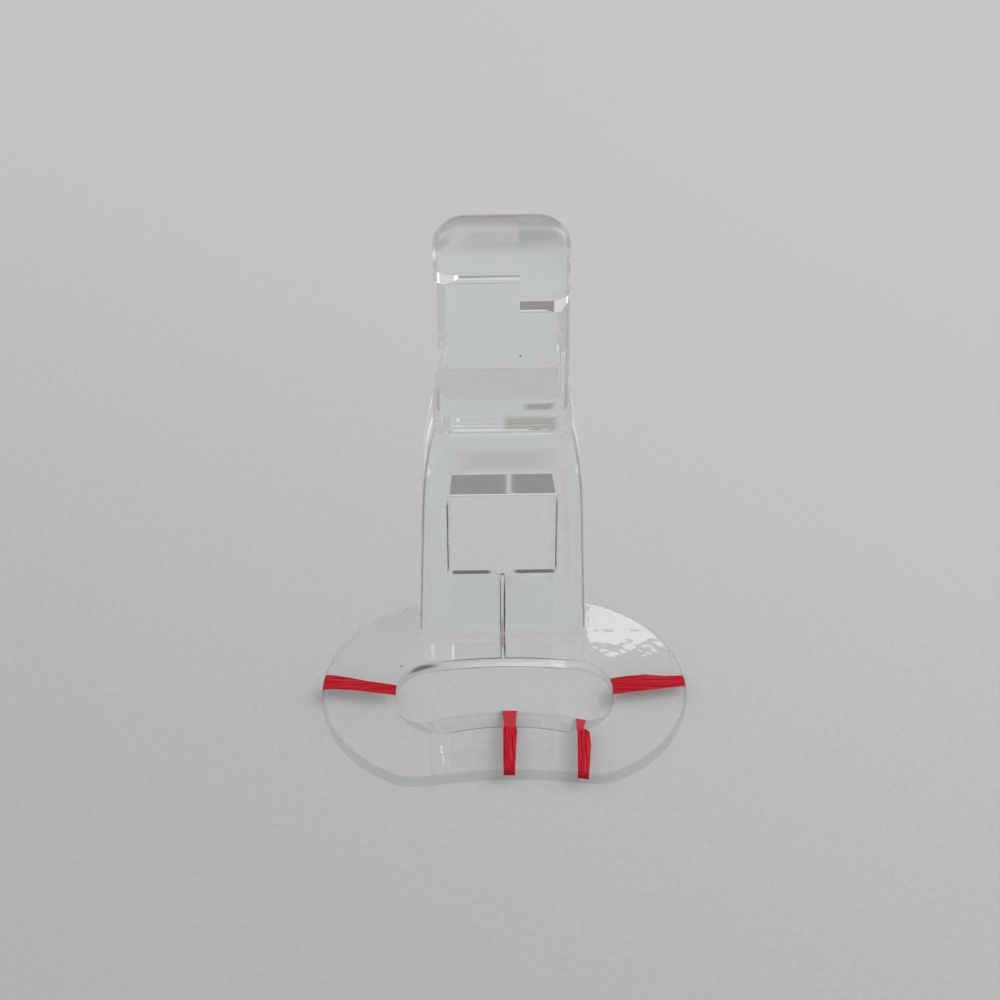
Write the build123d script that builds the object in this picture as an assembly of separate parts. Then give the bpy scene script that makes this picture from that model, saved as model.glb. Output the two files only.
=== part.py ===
from build123d import *
import os

# Clear moulded presser foot for free-motion quilting, with four painted guide lines.
# Millimetres. The origin is the middle of the needle hole, on the plane of the sole.
# +X is to the sewer's right, +Y to the back of the machine and +Z up.

# Base plate, a round-ended oval with a shallow dip in its front edge
base_width = 31.75
base_end_radius = 11.1
base_thickness = 1.3
front_dip = -9.75
front_dip_radius = 38.0
front_lobe_blend = 5.0
rim_top_round = 0.4
rim_sole_chamfer = 0.2

# Needle hole, a kidney with upright back and side walls and a ramp at the front
hole_width = 18.9
hole_back = 3.75
hole_front = -4.65
hole_back_arch_radius = 41.0
hole_front_arch_radius = 19.0
hole_back_corner = 3.4
hole_front_corner = 3.8
ramp_length = 2.9
ramp_corner = 2.2
ramp_land = 0.25

# Stem, the broad upright behind the needle hole
stem_front = 6.1
stem_depth = 6.3
stem_foot_width = 14.9
stem_shoulder_width = 13.8
stem_top_width = 11.6
shoulder_start = 16.5
stem_top = 25.6
stem_edge_round = 1.2
stem_foot_fillet = 0.5

# Window through the stem, over a thin apron that closes the front of the hollow behind
window_sill = 9.3
window_head = 17.85
window_lip = 0.8
window_front_width = 9.1
window_back_width = 8.6
window_edge_chamfer = 0.25
apron_edge = 0.4
apron_foot = 1.3
sill_notch_width = 1.7
sill_notch_depth = 0.4

# Flow line of the moulding, from the window's sill to the needle hole
flow_line_radius = 0.22

# Shank, the narrower block that the presser bar carries
shank_width = 11.2
shank_setback = 1.6
shank_back_step = 0.2
shank_root = 2.0
shank_top = 44.2
shank_corner_radius = 2.7
shank_edge_round = 2.1

# Seat cut into the shank from the front and the left, with a lower screw pocket beside it
seat_floor = 27.6
seat_floor_fall = 0.5
seat_right_edge = 1.4
seat_head = 39.0
seat_lip = 1.25
pocket_right_edge = 4.7
pocket_head = 36.35
pocket_lip = 0.6
seat_back_wall = 1.0

# Hand-painted guide lines, filled flush into shallow grooves in the top of the base
# Each edge list gives the share of the line's length, then the offsets of its two edges
paint_depth = 0.15
centre_line_x = 0.3
seam_allowance = 6.35
centre_line_edges = [
    (-0.1, -0.55, 0.8),
    (0.3, -0.42, 0.6),
    (0.43, -0.53, 0.68),
    (0.93, -0.6, 0.42),
    (1.3, -0.55, 0.3),
]
seam_line_edges = [
    (-0.1, -0.45, 0.75),
    (0.22, -0.5, 0.3),
    (0.38, -0.56, 0.06),
    (0.46, -0.5, 0.55),
    (0.64, -0.56, 0.61),
    (1.3, -0.75, 0.1),
]
left_line_edges = [
    (-0.1, -0.75, 0.42),
    (0.38, -0.22, 1.08),
    (0.6, 0.03, 1.49),
    (0.84, 0.2, 1.85),
    (1.1, 0.17, 2.05),
]
right_line_edges = [
    (-0.1, -1.05, 0.82),
    (0.2, -0.82, 1.19),
    (0.45, -0.6, 1.35),
    (0.72, -0.36, 1.12),
    (1.1, 0.0, 1.19),
]

stem_back = stem_front + stem_depth
shank_front = stem_front + shank_setback
shank_back = stem_back - shank_back_step
seat_back = shank_back - seat_back_wall
overshoot = base_width


def slab(front_view: Sketch, front: float, back: float) -> Part:
    """Solid with the given front view, from one Y to another."""
    return extrude(Plane.XZ.offset(-back) * front_view, back - front)


def base_plan() -> Sketch:
    """Outline of the base: two round ends and a shallow dip in the front edge."""
    oval = SlotOverall(base_width, 2 * base_end_radius)
    plan = oval - Pos(0, front_dip - front_dip_radius) * Circle(front_dip_radius)
    return fillet(plan.vertices().sort_by(Axis.Y)[:2], front_lobe_blend)


def base_plate() -> Part:
    """Flat base with a rounded rim."""
    plate = extrude(base_plan(), base_thickness)
    plate = fillet(plate.edges().group_by(Axis.Z)[-1], rim_top_round)
    return chamfer(plate.edges().group_by(Axis.Z)[0], rim_sole_chamfer)


def hole_plan(front: float, front_corner: float) -> Sketch:
    """Kidney outline of the needle hole, with its front edge at the given Y on the centre line."""
    front_side = front - hole_width / 3
    blank = Pos(0, (hole_back + front_side) / 2) * Rectangle(hole_width, hole_back - front_side)
    back_arch = Pos(0, hole_back - hole_back_arch_radius) * Circle(hole_back_arch_radius)
    front_arch = Pos(0, front - hole_front_arch_radius) * Circle(hole_front_arch_radius)
    kidney = (blank & back_arch) - front_arch
    kidney = fillet(kidney.vertices().sort_by(Axis.Y)[-2:], hole_back_corner)
    return fillet(kidney.vertices().sort_by(Axis.Y)[:2], front_corner)


def needle_hole() -> Part:
    """Cutter for the needle hole, with a ramp that rises to the front edge."""
    sole_plan = hole_plan(hole_front + ramp_length, ramp_corner)
    top_plan = hole_plan(hole_front, hole_front_corner)
    ramp = loft([Pos(0, 0, ramp_land) * sole_plan, Pos(0, 0, base_thickness) * top_plan])
    below = Pos(0, 0, -base_thickness) * extrude(sole_plan, base_thickness + ramp_land)
    above = Pos(0, 0, base_thickness) * extrude(top_plan, base_thickness)
    return below + ramp + above


def stem_view() -> Sketch:
    """Front view of the stem: drafted sides that curve in over the shoulders."""
    foot = stem_foot_width / 2
    shoulder = stem_shoulder_width / 2
    neck = stem_top_width / 2
    right = Polyline((0, 0), (foot, 0), (shoulder, shoulder_start))
    draft = (shoulder - foot, shoulder_start)
    right += TangentArc((shoulder, shoulder_start), (neck, stem_top), tangent=draft)
    right += Line((neck, stem_top), (0, stem_top))
    return make_face(right + mirror(right, Plane.YZ))


def upright() -> Part:
    """Stem and shank with rounded outer edges, standing on the plane of the sole."""
    stem = slab(stem_view(), stem_front, stem_back)
    stem = fillet(stem.faces().sort_by(Axis.Y)[-1].edges().sort_by(Axis.Z)[1:-1], stem_edge_round)
    stem = fillet(stem.faces().sort_by(Axis.Y)[0].edges().sort_by(Axis.Z)[1:], stem_edge_round)
    shank_foot = stem_top - shank_root
    shank_view = Pos(0, (shank_foot + shank_top) / 2) * Rectangle(shank_width, shank_top - shank_foot)
    shank_view = fillet(shank_view.vertices().group_by(Axis.Y)[-1], shank_corner_radius)
    shank = slab(shank_view, shank_front, shank_back)
    free_edges = [e for f in shank.faces().filter_by(Axis.Y) for e in f.edges().sort_by(Axis.Z)[1:]]
    return stem + fillet(free_edges, shank_edge_round)


def hollow(front: float, floor: list, head: float, lip: float, left: float, right: float) -> Part:
    """Cutter with the given floor and a level ceiling whose front lip is rounded.

    The floor lists its points from front to back as (Y, Z), and the ceiling ends above the last one.
    """
    back = floor[-1][0]
    rim = [(back, head), (front + lip, head)]
    lip_arc = CenterArc((front + lip, head + lip), lip, 270, -90)
    nose = [(front, head + lip), (floor[0][0], head + lip)]
    side_view = Polyline(*nose, *floor, *rim) + lip_arc
    return Pos(left, 0, 0) * extrude(Plane.YZ * make_face(side_view), right - left)


def foot_blend(standing: Part) -> Part:
    """Foot of the upright with a concave blend along its front, cut off at the stem's sides."""
    ground = Pos(0, 0, base_thickness / 2) * Box(2 * overshoot, 2 * overshoot, base_thickness)
    joined = ground + standing
    ground_top = joined.faces().filter_by(Axis.Z).sort_by(SortBy.AREA)[-2]
    blended = fillet(ground_top.inner_wires().edges(), stem_foot_fillet)
    length = stem_foot_fillet + stem_edge_round
    height = base_thickness + stem_foot_fillet
    zone = Box(stem_foot_width, length, height, align=(Align.CENTER, Align.MIN, Align.MIN))
    return blended & Pos(0, stem_front - stem_foot_fillet, 0) * zone


def window() -> Part:
    """Cutter for the window and the hollow behind the apron, open to the back, with drafted sides."""
    front = stem_front - overshoot
    back = stem_back + overshoot
    sill = [(front, window_sill), (stem_front + apron_edge, window_sill)]
    floor = [(stem_front + apron_foot, base_thickness), (back, base_thickness)]
    reach = window_front_width
    across = hollow(stem_front, sill + floor, window_head, window_lip, -reach, reach)
    wide = window_front_width / 2
    narrow = window_back_width / 2
    mouth = wide + window_edge_chamfer
    right = [(mouth, front), (mouth, stem_front), (wide, stem_front + window_edge_chamfer)]
    right += [(narrow, stem_back), (narrow, back)]
    left = [(-x, y) for x, y in reversed(right)]
    return across & extrude(make_face(Polyline(*right, *left, close=True)), shank_top)


def sill_notch() -> Part:
    """Cutter for the small dip in the middle of the window's sill."""
    half = sill_notch_width / 2
    bottom = window_sill - sill_notch_depth
    view = make_face(Polyline((-half, window_sill), (0, bottom), (half, window_sill), close=True))
    return slab(view, stem_front - overshoot, stem_back)


def flow_line() -> Part:
    """Cutter for the fine line down the stem's front and across the base to the needle hole."""
    foot = stem_front - stem_foot_fillet
    top = base_thickness + stem_foot_fillet
    path = Line((0, hole_back - base_thickness, base_thickness), (0, foot, base_thickness))
    path += TangentArc((0, foot, base_thickness), (0, stem_front, top), tangent=(0, 1, 0))
    path += Line((0, stem_front, top), (0, stem_front, window_sill))
    return sweep(Plane(path @ 0, z_dir=path % 0) * Circle(flow_line_radius), path)


def seat() -> Part:
    """Cutter for the stepped seat in the shank, open to the front and the left."""
    steepness = seat_floor_fall / (seat_back - shank_front)
    front_end = (stem_front, seat_floor - steepness * shank_setback)
    floor = [front_end, (seat_back, seat_floor + seat_floor_fall)]
    wide = hollow(shank_front, floor, seat_head, seat_lip, -overshoot, seat_right_edge)
    return wide + hollow(shank_front, floor, pocket_head, pocket_lip, -overshoot, pocket_right_edge)


def brushed_outline(start: Vector, end: Vector, across: Vector, edges: list) -> Sketch:
    """Outline of a painted line from start to end, its edges set off along the across direction."""
    one_edge = [start + (end - start) * share + across * first for share, first, last in edges]
    other_edge = [start + (end - start) * share + across * last for share, first, last in edges]
    return make_face(Polyline(*one_edge, *reversed(other_edge), close=True))


def painted_lines(bare: Part) -> Part:
    """Four strips of paint, each as deep as its groove and flush with the bare foot's surface."""
    ramp_foot = hole_front + ramp_length
    seam_line_x = centre_line_x + seam_allowance
    hole_end = hole_width / 2
    rim = base_width / 2
    right = Vector(1, 0)
    back = Vector(0, 1)
    strokes = [
        (Vector(centre_line_x, ramp_foot), Vector(centre_line_x, front_dip), right, centre_line_edges),
        (Vector(seam_line_x, ramp_foot), Vector(seam_line_x, front_dip), right, seam_line_edges),
        (Vector(-hole_end, 0), Vector(-rim, 0), back, left_line_edges),
        (Vector(hole_end, 0), Vector(rim, 0), back, right_line_edges),
    ]
    prisms = [extrude(brushed_outline(*stroke), 2 * base_thickness) for stroke in strokes]
    under_paint = Pos(0, 0, -paint_depth) * bare
    skins = [(bare & prism) - under_paint for prism in prisms]
    return Part() + [skin.solids().sort_by(SortBy.VOLUME)[-1] for skin in skins]


if __name__ == "__main__":
    os.makedirs("parts", exist_ok=True)
    standing = upright()
    foot = base_plate() + standing + foot_blend(standing)
    for cutter in (needle_hole(), window(), sill_notch(), flow_line(), seat()):
        foot -= cutter
    paint = painted_lines(foot)
    export_step(foot - paint, "parts/presser_foot.step")
    export_step(paint, "parts/red_guide_lines.step")
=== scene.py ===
"""Dresses, lights and frames a clear free-motion presser foot with four hand-brushed guide lines."""
import logging
import math
from dataclasses import dataclass, field
from enum import Enum

import bpy
from mathutils import Matrix, Vector

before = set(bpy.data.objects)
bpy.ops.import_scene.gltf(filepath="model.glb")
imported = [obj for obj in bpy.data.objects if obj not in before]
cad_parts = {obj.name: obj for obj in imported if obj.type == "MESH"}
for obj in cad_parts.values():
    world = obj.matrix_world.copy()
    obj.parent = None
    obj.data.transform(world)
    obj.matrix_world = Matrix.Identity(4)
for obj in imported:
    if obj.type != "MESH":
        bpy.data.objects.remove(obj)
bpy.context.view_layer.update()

MM = 0.001
LOG = logging.getLogger("presser_foot")

Socket = bpy.types.NodeSocket
Tree = bpy.types.NodeTree
Triple = tuple[float, float, float]

# A mix node has a set of sockets for each kind of data: these are for numbers and for colours.
NUMBER_A, NUMBER_B, NUMBER_OUT = 2, 3, 0
COLOUR_A, COLOUR_B, COLOUR_OUT = 6, 7, 2


class Shape(Enum):
    """Outlines of a zone."""

    ROUND = "round"
    SQUARE = "square"


class Stroke(Enum):
    """The ways the brush ran."""

    ALONG_X = "along X"
    ALONG_Y = "along Y"


class Slot(Enum):
    """The record's material slots."""

    CLEAR_PLASTIC = "clear_plastic"
    RED_PAINT = "red_paint"


def linear(code: str) -> tuple[float, float, float, float]:
    """Turns an sRGB hex code into a linear colour.

    Args:
        code: six hex digits, such as "C81428".

    Returns:
        Red, green, blue and an alpha of one.
    """
    parts = [int(code[start:start + 2], 16) / 255 for start in (0, 2, 4)]
    red, green, blue = [
        part / 12.92 if part <= 0.04045 else ((part + 0.055) / 1.055) ** 2.4 for part in parts
    ]
    return red, green, blue, 1.0


def add(tree: Tree, kind: str, inputs: dict | None = None, **settings: object) -> bpy.types.Node:
    """Adds one shader node with its settings, values and links.

    Args:
        tree: the node tree to add to.
        kind: the node's type without its "ShaderNode" prefix.
        inputs: a value or an output socket for each input, by name or number.
        settings: the node's own properties.

    Returns:
        The new node.
    """
    node = tree.nodes.new("ShaderNode" + kind)
    for name, value in settings.items():
        setattr(node, name, value)
    for name, value in (inputs or {}).items():
        if isinstance(value, Socket):
            tree.links.new(value, node.inputs[name])
        else:
            node.inputs[name].default_value = value
    return node


def new_material(name: str) -> tuple[bpy.types.Material, Tree]:
    """Makes an empty node material.

    Args:
        name: the real material and how it was made.

    Returns:
        The material and its emptied node tree.
    """
    material = bpy.data.materials.new(name)
    material.use_nodes = True
    material.node_tree.nodes.clear()
    return material, material.node_tree


@dataclass(frozen=True)
class Zone:
    """A soft-edged ellipsoid or block in the shared frame.

    The middle and the half sizes are in millimetres. The edge is the share of the half sizes over
    which the zone fades.
    """

    middle: Triple
    half: Triple
    edge: float = 0.4
    shape: Shape = Shape.ROUND

    def mask(self, tree: Tree, place: Socket) -> Socket:
        """Makes a mask that is one inside the zone and zero outside.

        Args:
            tree: the node tree to add to.
            place: the position, in metres in the shared frame.

        Returns:
            The mask.
        """
        inverse = tuple(1 / (half * MM) for half in self.half)
        shift = tuple(-middle / half for middle, half in zip(self.middle, self.half))
        local = add(tree, "VectorMath", {0: place, 1: inverse, 2: shift}, operation="MULTIPLY_ADD")
        if self.shape is Shape.ROUND:
            length = add(tree, "VectorMath", {0: local.outputs["Vector"]}, operation="LENGTH")
            reach = length.outputs["Value"]
        else:
            sides = add(tree, "VectorMath", {0: local.outputs["Vector"]}, operation="ABSOLUTE")
            part = add(tree, "SeparateXYZ", {0: sides.outputs["Vector"]}).outputs
            reach = part["X"]
            for name in ("Y", "Z"):
                larger = add(tree, "Math", {0: reach, 1: part[name]}, operation="MAXIMUM")
                reach = larger.outputs["Value"]
        fade = add(tree, "MapRange", {
            "Value": reach,
            "From Min": 1.0,
            "From Max": 1.0 - self.edge,
        }, interpolation_type="SMOOTHSTEP")
        return fade.outputs["Result"]


@dataclass(frozen=True)
class Mark:
    """A speck or a fine line in the plastic, or a painted shade, highlight or reflection on it."""

    colour: str
    zone: Zone


# The hole's back wall: a painted highlight at its right end, a painted brown shade at its left end and a
# painted dark shade line along its top and bottom.
HOLE_WALL_LIGHT_AND_SHADE = (
    Mark("F4F4F4", Zone((7.9, 2.7, 0.7), (1.8, 1.4, 0.7), 0.5)),
    Mark("4E4436", Zone((-7.2, 3.0, 0.8), (2.2, 1.0, 0.42), 0.6)),
    Mark("3A3A38", Zone((0.5, 3.6, 1.2), (8.6, 0.8, 0.08))),
    Mark("5A5A58", Zone((0.5, 3.6, 0.1), (8.6, 0.8, 0.08))),
)
# Painted shade on the shank's head, a painted beige reflection and a painted dark shade under the seat's
# floor, and a painted shade above the window.
SHANK_SHADE_AND_REFLECTION = (
    Mark("C8CACA", Zone((0.0, 9.9, 43.8), (8.0, 4.5, 1.7), 0.6)),
    Mark("BEBEA9", Zone((2.3, 7.0, 25.55), (2.5, 0.8, 0.3), 0.3, Shape.SQUARE)),
    Mark("A9A9A3", Zone((3.05, 7.7, 26.75), (1.6, 0.4, 0.45), 0.5, Shape.SQUARE)),
    Mark("DEDEDC", Zone((0.2, 6.1, 22.3), (5.4, 0.4, 1.5), 0.6, Shape.SQUARE)),
)
# Dark specks in the moulding, one in the base and one in the shank.
BLACK_SPECKS = (
    Mark("0A0A0A", Zone((-8.95, 2.84, 1.3), (0.11, 0.11, 0.11))),
    Mark("0A0A0A", Zone((1.59, 11.2, 29.38), (0.11, 0.11, 0.11))),
)
# The moulding's flow line: a double line down from the window and on over the base, red at its foot.
FLOW_LINE = (
    Mark("221F1C", Zone((0.16, 6.1, 5.0), (0.11, 0.5, 5.0))),
    Mark("45423F", Zone((-0.18, 6.1, 5.2), (0.08, 0.5, 5.0))),
    Mark("221F1C", Zone((0.15, 5.0, 1.4), (0.11, 1.9, 0.5))),
    Mark("45423F", Zone((-0.17, 5.0, 1.4), (0.07, 1.9, 0.5))),
    Mark("B06058", Zone((-0.02, 5.7, 2.4), (0.16, 1.0, 2.2))),
)
# Painted shade: fine dark lines along the window's sides, the two halves of its sill and the notch in the
# sill.
WINDOW_EDGE_SHADE = (
    Mark("5A5A5A", Zone((-4.72, 6.2, 13.6), (0.07, 0.4, 4.4), 0.2, Shape.SQUARE)),
    Mark("5A5A5A", Zone((4.60, 6.2, 13.6), (0.07, 0.4, 4.4), 0.2, Shape.SQUARE)),
    Mark("585856", Zone((-2.78, 6.2, 9.31), (1.9, 0.4, 0.06), 0.2, Shape.SQUARE)),
    Mark("585856", Zone((2.78, 6.2, 9.31), (1.9, 0.4, 0.06), 0.2, Shape.SQUARE)),
    Mark("3C3C3A", Zone((0.0, 6.2, 8.92), (0.35, 0.4, 0.08))),
)


@dataclass(frozen=True)
class ClearPolycarbonate:
    """Clear polycarbonate, injection moulded in a polished mould.

    It bends what lies behind it and mirrors the room, and it is dull where the cloth, the presser
    bar and fingers rub it.
    """

    tint: str = "FDFEFE"
    ior: float = 1.585
    polish: float = 0.02
    # Real specks and the flow line, and painted shade, highlights and a reflection.
    marks: tuple[Mark, ...] = HOLE_WALL_LIGHT_AND_SHADE + SHANK_SHADE_AND_REFLECTION + BLACK_SPECKS + FLOW_LINE + WINDOW_EDGE_SHADE

    upright_under: float = 0.9
    rubbed: float = 0.30
    rubbed_below_mm: float = 1.29
    sole_below_mm: float = 0.1
    seat_floor: Zone = Zone((0.0, 9.2, 27.7), (6.0, 3.4, 0.7), 0.05, Shape.SQUARE)
    worn_head: float = 0.22
    worn_from_mm: float = 38.0
    worn_full_mm: float = 42.5

    # Painted grey shade on the base's upright edges at the front, fading out towards the back.
    edge_shade_tint: str = "D8DADA"
    edge_shade_from_mm: float = 8.0
    edge_shade_full_mm: float = 4.0

    # A painted dark shade line along the top edge of the needle hole's ramp.
    brow_shade_tint: str = "8E908E"
    brow_centre_mm: tuple[float, float] = (0.0, -23.65)
    brow_radius_mm: float = 19.0
    brow_half_width_mm: float = 0.07
    brow_reach: Zone = Zone((0.3, -4.65, 1.3), (6.4, 3.0, 0.3), 0.3)

    # Painted dark shade lines along the rounded side edges of the stem and the shank.
    contour_shade_tint: str = "8C8E8E"
    contour_turn: float = 0.87
    contour_spread: float = 0.07
    contour_from_mm: float = 2.0
    contour_thins_from_mm: float = 20.0
    contour_thin_mm: float = 30.0
    contour_thin: float = 0.4

    ripple_mm: float = 1.6
    ripple_detail: float = 2.0
    ripple_height: float = 0.009 * MM
    ripple_patch: Zone = Zone((11.0, 6.5, 1.3), (5.5, 5.0, 0.5))

    through_tint: str = "FEFEFE"
    contact_below_mm: float = 0.02
    dry_strip: Zone = Zone((0.5, 4.7, 0.0), (10.5, 2.4, 1.0), 0.75)

    def upright(self, tree: Tree) -> Socket:
        """Finds the faces that aren't level.

        Args:
            tree: the node tree to add to.

        Returns:
            A mask of these faces.
        """
        normal = add(tree, "SeparateXYZ", {0: add(tree, "NewGeometry").outputs["Normal"]})
        level = add(tree, "Math", {0: normal.outputs["Z"]}, operation="ABSOLUTE")
        steep = add(tree, "Math", {
            0: level.outputs["Value"],
            1: self.upright_under,
        }, operation="LESS_THAN")
        return steep.outputs["Value"]

    def base_edges(self, tree: Tree, place: Socket) -> Socket:
        """Finds the base's upright edges.

        Args:
            tree: the node tree to add to.
            place: the position, in metres in the shared frame.

        Returns:
            A mask of the edges.
        """
        height = add(tree, "SeparateXYZ", {0: place}).outputs["Z"]
        low = add(tree, "Math", {0: height, 1: self.rubbed_below_mm * MM}, operation="LESS_THAN")
        edges = add(tree, "Math", {
            0: self.upright(tree),
            1: low.outputs["Value"],
        }, operation="MULTIPLY")
        return edges.outputs["Value"]

    def edge_shade_mask(self, tree: Tree, place: Socket) -> Socket:
        """Finds the base's front edges, which get a painted grey shade.

        Args:
            tree: the node tree to add to.
            place: the position, in metres in the shared frame.

        Returns:
            A mask of the edges that fades towards the back.
        """
        depth = add(tree, "SeparateXYZ", {0: place}).outputs["Y"]
        front = add(tree, "MapRange", {
            "Value": depth,
            "From Min": self.edge_shade_from_mm * MM,
            "From Max": self.edge_shade_full_mm * MM,
        })
        grey = add(tree, "Math", {
            0: self.base_edges(tree, place),
            1: front.outputs["Result"],
        }, operation="MULTIPLY")
        return grey.outputs["Value"]

    def dullness(self, tree: Tree, place: Socket) -> Socket:
        """Finds how dull the surface is.

        It is polished, but rubbed on the sole, the base's edges and the seat's floor, and worn
        towards the top of the shank.

        Args:
            tree: the node tree to add to.
            place: the position, in metres in the shared frame.

        Returns:
            The roughness.
        """
        height = add(tree, "SeparateXYZ", {0: place}).outputs["Z"]
        sole = add(tree, "Math", {0: height, 1: self.sole_below_mm * MM}, operation="LESS_THAN")
        base = add(tree, "Math", {
            0: self.base_edges(tree, place),
            1: sole.outputs["Value"],
        }, operation="MAXIMUM")
        seat = add(tree, "Math", {
            0: self.seat_floor.mask(tree, place),
            1: self.upright(tree),
        }, operation="SUBTRACT", use_clamp=True)
        rubbed = add(tree, "Math", {
            0: base.outputs["Value"],
            1: seat.outputs["Value"],
        }, operation="MAXIMUM")
        handled = add(tree, "MapRange", {
            "Value": height,
            "From Min": self.worn_from_mm * MM,
            "From Max": self.worn_full_mm * MM,
            "To Min": self.polish,
            "To Max": self.worn_head,
        })
        dull = add(tree, "Mix", {
            "Factor": rubbed.outputs["Value"],
            NUMBER_A: handled.outputs["Result"],
            NUMBER_B: self.rubbed,
        })
        return dull.outputs[NUMBER_OUT]

    def brow_line(self, tree: Tree, place: Socket) -> Socket:
        """Finds the painted dark shade line where the ramp of the needle hole meets the top of the base.

        Args:
            tree: the node tree to add to.
            place: the position, in metres in the shared frame.

        Returns:
            A mask of the line.
        """
        across, along = self.brow_centre_mm
        spot = add(tree, "VectorMath", {
            0: place,
            1: (across * MM, along * MM, 0.0),
        }, operation="SUBTRACT")
        flat = add(tree, "VectorMath", {
            0: spot.outputs["Vector"],
            1: (1.0, 1.0, 0.0),
        }, operation="MULTIPLY")
        reach = add(tree, "VectorMath", {0: flat.outputs["Vector"]}, operation="LENGTH")
        on_arc = add(tree, "Math", {
            0: reach.outputs["Value"],
            1: self.brow_radius_mm * MM,
            2: self.brow_half_width_mm * MM,
        }, operation="COMPARE")
        line = add(tree, "Math", {
            0: on_arc.outputs["Value"],
            1: self.brow_reach.mask(tree, place),
        }, operation="MULTIPLY")
        return line.outputs["Value"]

    def contour(self, tree: Tree, place: Socket) -> Socket:
        """Finds the painted dark shade lines along the rounded side edges of the stem and the shank.

        Args:
            tree: the node tree to add to.
            place: the position, in metres in the shared frame.

        Returns:
            A mask of the lines, fainter on the shank.
        """
        normal = add(tree, "SeparateXYZ", {0: add(tree, "NewGeometry").outputs["Normal"]})
        aside = add(tree, "Math", {0: normal.outputs["X"]}, operation="ABSOLUTE")
        turned = add(tree, "Math", {
            0: aside.outputs["Value"],
            1: self.contour_turn,
            2: self.contour_spread,
        }, operation="COMPARE")
        height = add(tree, "SeparateXYZ", {0: place}).outputs["Z"]
        above = add(tree, "Math", {0: height, 1: self.contour_from_mm * MM}, operation="GREATER_THAN")
        both = add(tree, "Math", {
            0: turned.outputs["Value"],
            1: above.outputs["Value"],
        }, operation="MULTIPLY")
        thinner = add(tree, "MapRange", {
            "Value": height,
            "From Min": self.contour_thins_from_mm * MM,
            "From Max": self.contour_thin_mm * MM,
            "To Min": 1.0,
            "To Max": self.contour_thin,
        })
        line = add(tree, "Math", {
            0: both.outputs["Value"],
            1: thinner.outputs["Result"],
        }, operation="MULTIPLY")
        return line.outputs["Value"]

    def ripple(self, tree: Tree, place: Socket) -> Socket:
        """Makes the slight ripple of the right rear of the base, which breaks up the window's reflection.

        Args:
            tree: the node tree to add to.
            place: the position, in metres in the shared frame.

        Returns:
            The bent normal.
        """
        wave = add(tree, "TexNoise", {
            "Vector": place,
            "Scale": 1 / (self.ripple_mm * MM),
            "Detail": self.ripple_detail,
        })
        height = add(tree, "Math", {
            0: wave.outputs["Fac"],
            1: self.ripple_patch.mask(tree, place),
        }, operation="MULTIPLY")
        bump = add(tree, "Bump", {
            "Strength": 1.0,
            "Distance": self.ripple_height,
            "Height": height.outputs["Value"],
        })
        return bump.outputs["Normal"]

    def wet_sole(self, tree: Tree, place: Socket) -> Socket:
        """Finds where the sole lies so close on the paper that it mirrors nothing inside the plastic.

        Args:
            tree: the node tree to add to.
            place: the position, in metres in the shared frame.

        Returns:
            A mask of the sole without the strip behind the needle hole.
        """
        height = add(tree, "SeparateXYZ", {0: place}).outputs["Z"]
        sole = add(tree, "Math", {0: height, 1: self.contact_below_mm * MM}, operation="LESS_THAN")
        wet = add(tree, "Math", {
            0: sole.outputs["Value"],
            1: self.dry_strip.mask(tree, place),
        }, operation="SUBTRACT", use_clamp=True)
        return wet.outputs["Value"]

    def colour(self, tree: Tree, place: Socket) -> Socket:
        """Lays the painted grey shade of the base's front edges, the painted shade lines at the ramp's
        brow and along the side edges, and the marks over the plastic's own tint.

        Args:
            tree: the node tree to add to.
            place: the position, in metres in the shared frame.

        Returns:
            The colour.
        """
        layers = [
            (self.edge_shade_tint, self.edge_shade_mask(tree, place)),
            (self.brow_shade_tint, self.brow_line(tree, place)),
            (self.contour_shade_tint, self.contour(tree, place)),
        ]
        layers += [(mark.colour, mark.zone.mask(tree, place)) for mark in self.marks]
        colour = linear(self.tint)
        for tint, mask in layers:
            layer = add(tree, "Mix", {
                "Factor": mask,
                COLOUR_A: colour,
                COLOUR_B: linear(tint),
            }, data_type="RGBA")
            colour = layer.outputs[COLOUR_OUT]
        return colour

    def material(self) -> bpy.types.Material:
        """Builds the shader.

        Returns:
            The finished material.
        """
        # To the eye: as clear as glass and glossy, so that walls show mainly by what they bend and mirror.
        material, tree = new_material("clear polycarbonate, injection moulded")
        place = add(tree, "TexCoord").outputs["Object"]
        body = add(tree, "BsdfPrincipled", {
            "Base Color": self.colour(tree, place),
            "Roughness": self.dullness(tree, place),
            "IOR": self.ior,
            "Transmission Weight": 1.0,
            "Normal": self.ripple(tree, place),
        })
        through = add(tree, "BsdfTransparent", {"Color": linear(self.through_tint)})
        # Light on its way to the paper passes straight through, which keeps the shadow soft and pale.
        path = add(tree, "LightPath")
        to_paper = add(tree, "Math", {
            0: path.outputs["Is Shadow Ray"],
            1: path.outputs["Is Diffuse Ray"],
        }, operation="MAXIMUM")
        clear = add(tree, "Math", {
            0: to_paper.outputs["Value"],
            1: self.wet_sole(tree, place),
        }, operation="MAXIMUM")
        mix = add(tree, "MixShader", {
            0: clear.outputs["Value"],
            1: body.outputs["BSDF"],
            2: through.outputs["BSDF"],
        })
        add(tree, "OutputMaterial", {"Surface": mix.outputs["Shader"]})
        return material


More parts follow.
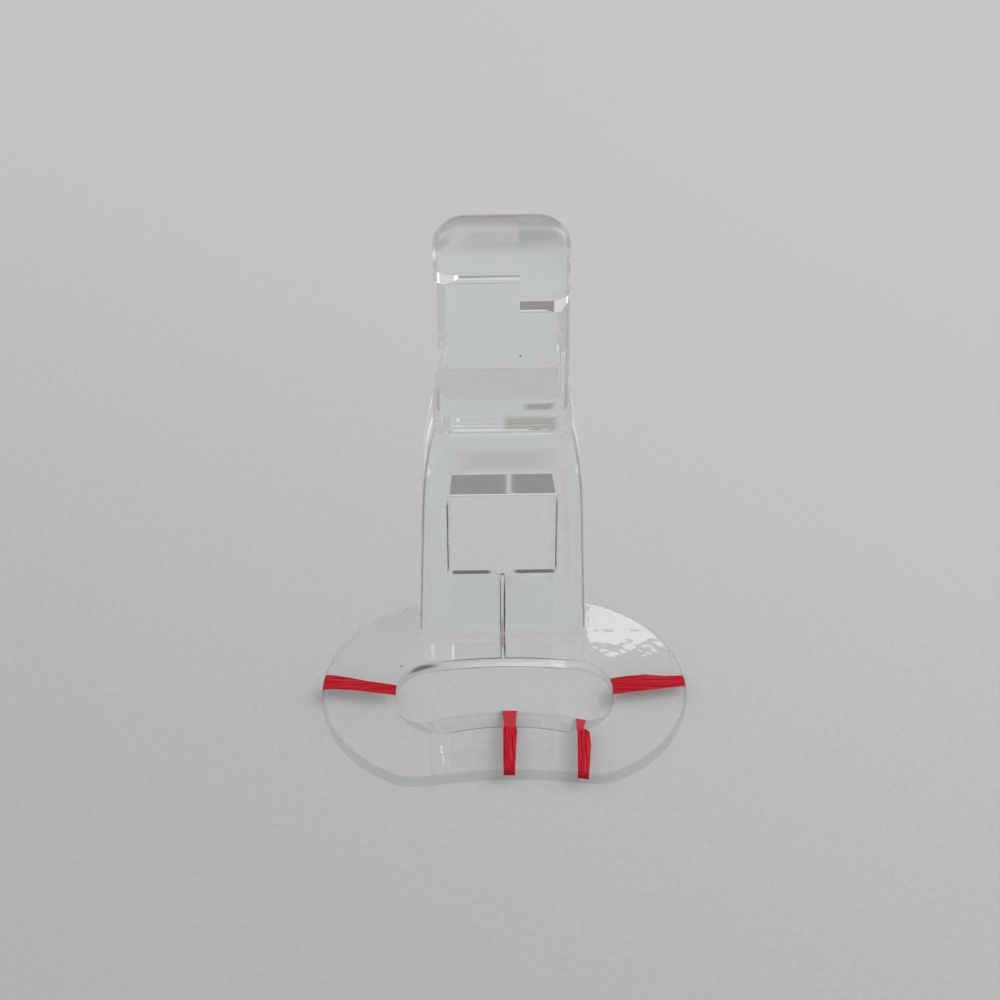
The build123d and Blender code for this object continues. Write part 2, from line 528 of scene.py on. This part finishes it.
@dataclass(frozen=True)
class BrushedEnamel:
    """Red enamel brushed on by hand.

    It is streaky, lighter where the paint is thin between the streaks, and lighter on the hole's ramp.
    """

    deep: str = "8E0416"
    full: str = "BE0A20"
    thin: str = "CA3846"
    deep_until: float = 0.34
    full_at: float = 0.5
    thin_from: float = 0.74
    roughness: float = 0.4
    sheen: float = 0.12
    streak_mm: float = 0.16
    streak_length_mm: float = 3.0
    streak_detail: float = 3.0
    side_line_from_mm: float = 9.0
    ramp: Zone = Zone((3.5, -3.2, 0.7), (6.0, 1.5, 0.75), 0.1, Shape.SQUARE)
    ramp_lightening: float = 0.6

    def streaks(self, tree: Tree, place: Socket, stroke: Stroke) -> Socket:
        """Makes brush streaks that run along one axis.

        Args:
            tree: the node tree to add to.
            place: the position, in metres in the shared frame.
            stroke: the way the brush ran.

        Returns:
            The streaks' strength, about one half.
        """
        fine = 1 / (self.streak_mm * MM)
        long = 1 / (self.streak_length_mm * MM)
        scale = (long, fine, fine) if stroke is Stroke.ALONG_X else (fine, long, fine)
        stretched = add(tree, "VectorMath", {0: place, 1: scale}, operation="MULTIPLY")
        noise = add(tree, "TexNoise", {
            "Vector": stretched.outputs["Vector"],
            "Scale": 1.0,
            "Detail": self.streak_detail,
        })
        return noise.outputs["Fac"]

    def material(self) -> bpy.types.Material:
        """Builds the shader.

        Returns:
            The finished material.
        """
        # To the eye: a strong red with darker and lighter streaks along each line and little gloss.
        material, tree = new_material("red enamel, brushed by hand")
        place = add(tree, "TexCoord").outputs["Object"]
        across = add(tree, "SeparateXYZ", {0: place}).outputs["X"]
        aside = add(tree, "Math", {0: across}, operation="ABSOLUTE")
        on_side = add(tree, "Math", {
            0: aside.outputs["Value"],
            1: self.side_line_from_mm * MM,
        }, operation="GREATER_THAN")
        streak = add(tree, "Mix", {
            "Factor": on_side.outputs["Value"],
            NUMBER_A: self.streaks(tree, place, Stroke.ALONG_Y),
            NUMBER_B: self.streaks(tree, place, Stroke.ALONG_X),
        })
        tones = add(tree, "ValToRGB", {"Fac": streak.outputs[NUMBER_OUT]})
        first, last = tones.color_ramp.elements
        first.position = self.deep_until
        first.color = linear(self.deep)
        last.position = self.thin_from
        last.color = linear(self.thin)
        tones.color_ramp.elements.new(self.full_at).color = linear(self.full)
        # Lighter on the hole's ramp.
        ramp_lighter_mask = add(tree, "Math", {0: self.ramp.mask(tree, place), 1: self.ramp_lightening}, operation="MULTIPLY")
        colour = add(tree, "Mix", {
            "Factor": ramp_lighter_mask.outputs["Value"],
            COLOUR_A: tones.outputs["Color"],
            COLOUR_B: linear(self.thin),
        }, data_type="RGBA")
        body = add(tree, "BsdfPrincipled", {
            "Base Color": colour.outputs[COLOUR_OUT],
            "Roughness": self.roughness,
            "Specular IOR Level": self.sheen,
        })
        add(tree, "OutputMaterial", {"Surface": body.outputs["BSDF"]})
        return material


@dataclass(frozen=True)
class PalePaper:
    """Smooth pale paper under the foot, darkened a little towards the front left by painted shade, with a
    faint grain.
    """

    near: str = "B6B7B7"
    far: str = "CDCECE"
    fall: Triple = (2.2, 3.6, 0.0)
    fall_half: float = 0.35
    grain_mm: float = 0.5
    grain_detail: float = 3.0
    grain_depth: float = 0.3
    roughness: float = 0.9

    def material(self) -> bpy.types.Material:
        """Builds the shader.

        Returns:
            The finished material.
        """
        # To the eye: an even, matt grey, darkened a little towards the front left by painted shade, that
        # keeps the soft shadow.
        material, tree = new_material("pale grey paper, smooth")
        place = add(tree, "TexCoord").outputs["Object"]
        # Painted shade: the sheet darkens from the far colour to the near one towards the front left.
        across = add(tree, "VectorMath", {0: place, 1: self.fall}, operation="DOT_PRODUCT")
        grain = add(tree, "TexNoise", {
            "Vector": place,
            "Scale": 1 / (self.grain_mm * MM),
            "Detail": self.grain_detail,
        })
        grained = add(tree, "Math", {
            0: grain.outputs["Fac"],
            1: self.grain_depth,
            2: across.outputs["Value"],
        }, operation="MULTIPLY_ADD")
        share = add(tree, "MapRange", {
            "Value": grained.outputs["Value"],
            "From Min": self.grain_depth / 2 - self.fall_half,
            "From Max": self.grain_depth / 2 + self.fall_half,
        }, interpolation_type="SMOOTHSTEP")
        colour = add(tree, "Mix", {
            "Factor": share.outputs["Result"],
            COLOUR_A: linear(self.near),
            COLOUR_B: linear(self.far),
        }, data_type="RGBA")
        body = add(tree, "BsdfPrincipled", {
            "Base Color": colour.outputs[COLOUR_OUT],
            "Roughness": self.roughness,
        })
        add(tree, "OutputMaterial", {"Surface": body.outputs["BSDF"]})
        return material


@dataclass
class PresserFoot:
    """The one-piece clear moulding."""

    finish: ClearPolycarbonate = field(default_factory=ClearPolycarbonate)

    def dress(self) -> bpy.types.Object:
        """Gives the moulding its plastic.

        Returns:
            The moulding.
        """
        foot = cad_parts["presser_foot"]
        foot.data.materials.clear()
        foot.data.materials.append(self.finish.material())
        return foot


@dataclass
class GuideLines:
    """Four painted lines on the base: two at the sides, the centre line and the seam line."""

    finish: BrushedEnamel = field(default_factory=BrushedEnamel)

    def dress(self) -> bpy.types.Object:
        """Gives the lines their paint.

        Returns:
            The lines.
        """
        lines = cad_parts["red_guide_lines"]
        lines.data.materials.clear()
        lines.data.materials.append(self.finish.material())
        return lines


@dataclass
class PaperFloor:
    """The sheet the foot stands on."""

    finish: PalePaper = field(default_factory=PalePaper)
    side: float = 4.0
    below: float = 0.05 * MM

    def build(self) -> bpy.types.Object:
        """Lays the sheet just under the sole.

        Returns:
            The floor.
        """
        half = self.side / 2
        outline = ((-half, -half), (half, -half), (half, half), (-half, half))
        corners = [(across, along, -self.below) for across, along in outline]
        mesh = bpy.data.meshes.new("paper floor")
        mesh.from_pydata(corners, [], [(0, 1, 2, 3)])
        mesh.materials.append(self.finish.material())
        floor = bpy.data.objects.new("paper floor", mesh)
        bpy.context.scene.collection.objects.link(floor)
        return floor


@dataclass
class Studio:
    """A pale room, dim near the floor, with a dim panel, a window and other lights around the foot."""

    wall: str = "F8F9FA"
    horizon_light: float = 0.22
    horizon_to_deg: float = 30.0
    wall_light: float = 0.72
    ceiling_light: float = 0.84
    ceiling_from_deg: float = 50.0
    ceiling_full_deg: float = 64.0

    panel: str = "A09E9A"
    panel_middle_deg: tuple[float, float] = (-6.5, 39.5)
    panel_half_deg: tuple[float, float] = (14.0, 6.0)
    panel_edge: float = 0.2
    gap_middle_deg: float = 1.55
    gap_half_deg: float = 0.05

    wall_distance: float = 1.0
    window_left: float = 0.072
    window_right: float = 0.145
    window_sill: float = 0.66
    window_head: float = 1.003
    window_power: float = 0.3

    left_strip_deg: float = -62.0
    right_strip_deg: float = 52.0
    strip_width: float = 0.12
    strip_height: float = 0.9
    strip_power: float = 0.65

    side_place: Triple = (0.75, 0.35, 0.75)
    side_size: float = 0.7
    side_power: float = 3.7

    def dim_panel(self, tree: Tree, place: Socket) -> Socket:
        """Finds the dim panel in the wall behind the foot, which a thin upright gap splits.

        Args:
            tree: the node tree to add to.
            place: the direction from the foot.

        Returns:
            A mask of the panel.
        """
        part = add(tree, "SeparateXYZ", {0: place}).outputs
        azimuth = add(tree, "Math", {0: part["X"], 1: part["Y"]}, operation="ARCTAN2").outputs["Value"]
        elevation = add(tree, "Math", {0: part["Z"]}, operation="ARCSINE").outputs["Value"]
        reach = []
        for angle, middle, half in zip((azimuth, elevation), self.panel_middle_deg, self.panel_half_deg):
            off = add(tree, "Math", {0: angle, 1: math.radians(middle)}, operation="SUBTRACT")
            share = add(tree, "Math", {0: off.outputs["Value"], 1: math.radians(half)}, operation="DIVIDE")
            size = add(tree, "Math", {0: share.outputs["Value"]}, operation="ABSOLUTE")
            reach.append(size.outputs["Value"])
        outer = add(tree, "Math", {0: reach[0], 1: reach[1]}, operation="MAXIMUM")
        fade = add(tree, "MapRange", {
            "Value": outer.outputs["Value"],
            "From Min": 1.0,
            "From Max": 1.0 - self.panel_edge,
        }, interpolation_type="SMOOTHSTEP")
        gap = add(tree, "Math", {
            0: azimuth,
            1: math.radians(self.gap_middle_deg),
            2: math.radians(self.gap_half_deg),
        }, operation="COMPARE")
        panel = add(tree, "Math", {
            0: fade.outputs["Result"],
            1: gap.outputs["Value"],
        }, operation="SUBTRACT", use_clamp=True)
        return panel.outputs["Value"]

    def build_room(self) -> None:
        """Makes the world: walls that are dim near the floor, the dim panel and a brighter ceiling."""
        world = bpy.data.worlds.new("plain room")
        bpy.context.scene.world = world
        world.use_nodes = True
        tree = world.node_tree
        tree.nodes.clear()
        place = add(tree, "TexCoord").outputs["Generated"]
        height = add(tree, "SeparateXYZ", {0: place}).outputs["Z"]
        low = add(tree, "MapRange", {
            "Value": height,
            "From Max": math.sin(math.radians(self.horizon_to_deg)),
            "To Min": self.horizon_light,
            "To Max": self.wall_light,
        }, interpolation_type="SMOOTHSTEP")
        high = add(tree, "MapRange", {
            "Value": height,
            "From Min": math.sin(math.radians(self.ceiling_from_deg)),
            "From Max": math.sin(math.radians(self.ceiling_full_deg)),
            "To Max": self.ceiling_light - self.wall_light,
        }, interpolation_type="SMOOTHSTEP")
        light = add(tree, "Math", {0: low.outputs["Result"], 1: high.outputs["Result"]}, operation="ADD")
        colour = add(tree, "Mix", {
            "Factor": self.dim_panel(tree, place),
            COLOUR_A: linear(self.wall),
            COLOUR_B: linear(self.panel),
        }, data_type="RGBA")
        room = add(tree, "Background", {
            "Color": colour.outputs[COLOUR_OUT],
            "Strength": light.outputs["Value"],
        })
        add(tree, "OutputWorld", {"Surface": room.outputs["Background"]})

    def hang(self, name: str, width: float, height: float, power: float) -> bpy.types.Object:
        """Adds a rectangular light to the scene.

        Args:
            name: the light's name.
            width: its width, in metres.
            height: its height, in metres.
            power: its power, in watts.

        Returns:
            The light, not yet in its place.
        """
        lamp = bpy.data.lights.new(name, "AREA")
        lamp.shape = "RECTANGLE"
        lamp.size = width
        lamp.size_y = height
        lamp.energy = power
        light = bpy.data.objects.new(name, lamp)
        bpy.context.scene.collection.objects.link(light)
        return light

    def build_window(self) -> None:
        """Hangs the window light in the wall behind the foot, facing the front."""
        width = self.window_right - self.window_left
        height = self.window_head - self.window_sill
        window = self.hang("window", width, height, self.window_power)
        across = (self.window_left + self.window_right) / 2
        middle = (self.window_sill + self.window_head) / 2
        window.location = (across, self.wall_distance, middle)
        window.rotation_euler = (-math.pi / 2, 0.0, 0.0)

    def build_strips(self) -> None:
        """Stands a tall narrow light on each side, which draws fine highlights along the upright edges."""
        for side, azimuth in (("left", self.left_strip_deg), ("right", self.right_strip_deg)):
            turn = math.radians(azimuth)
            strip = self.hang(f"{side} strip light", self.strip_width, self.strip_height, self.strip_power)
            across = self.wall_distance * math.sin(turn)
            along = self.wall_distance * math.cos(turn)
            strip.location = (across, along, self.strip_height / 2)
            strip.rotation_euler = (math.pi / 2, 0.0, math.pi - turn)

    def build_side_light(self) -> None:
        """Hangs a broad light at the right, which lays the soft shadow; the plastic never mirrors it."""
        side = self.hang("side light", self.side_size, self.side_size, self.side_power)
        side.location = self.side_place
        side.rotation_euler = Vector(self.side_place).to_track_quat("Z", "Y").to_euler()
        side.visible_glossy = False
        side.visible_transmission = False

    def build(self) -> None:
        """Makes the room and its lights."""
        self.build_room()
        self.build_window()
        self.build_strips()
        self.build_side_light()


@dataclass
class Viewpoint:
    """The photograph's camera: in front of the foot, looking down on it at a little under 45 degrees."""

    azimuth_deg: float = 1.3
    elevation_deg: float = 42.0
    distance: float = 0.220
    target: Triple = (-0.37 * MM, 0.0, 23.34 * MM)
    lens: float = 96.912
    sensor: float = 36.0
    nearest: float = 10 * MM

    def build(self) -> bpy.types.Object:
        """Sets up the camera.

        Returns:
            The camera.
        """
        turn = math.radians(self.azimuth_deg)
        rise = math.radians(self.elevation_deg)
        level = math.cos(rise)
        ahead = Vector((level * math.sin(turn), level * math.cos(turn), -math.sin(rise)))
        right = Vector((math.cos(turn), -math.sin(turn), 0.0))
        up = right.cross(ahead)
        data = bpy.data.cameras.new("camera")
        data.sensor_width = self.sensor
        data.lens = self.lens
        data.clip_start = self.nearest
        camera = bpy.data.objects.new("camera", data)
        turned = Matrix((right, up, -ahead)).transposed().to_4x4()
        camera.matrix_world = Matrix.Translation(Vector(self.target) - self.distance * ahead) @ turned
        bpy.context.scene.collection.objects.link(camera)
        bpy.context.scene.camera = camera
        return camera


@dataclass(frozen=True)
class LightPaths:
    """How often light may turn: enough for the plastic's far walls to show through the near ones."""

    total: int = 32
    mirrored: int = 24
    bent: int = 32
    straight: int = 24

    def apply(self) -> None:
        """Sets the limits for the scene."""
        limits = bpy.context.scene.cycles
        limits.max_bounces = self.total
        limits.glossy_bounces = self.mirrored
        limits.transmission_bounces = self.bent
        limits.transparent_max_bounces = self.straight


def main() -> None:
    """Builds the pieces, the stage and the camera in order."""
    logging.basicConfig(level=logging.INFO, format="%(message)s")
    bpy.context.scene.view_settings.view_transform = "Standard"
    LightPaths().apply()
    for piece in (PresserFoot().dress(), GuideLines().dress()):
        LOG.info("dressed %s", piece.name)
    PaperFloor().build()
    Studio().build()
    Viewpoint().build()


if __name__ == "__main__":
    main()
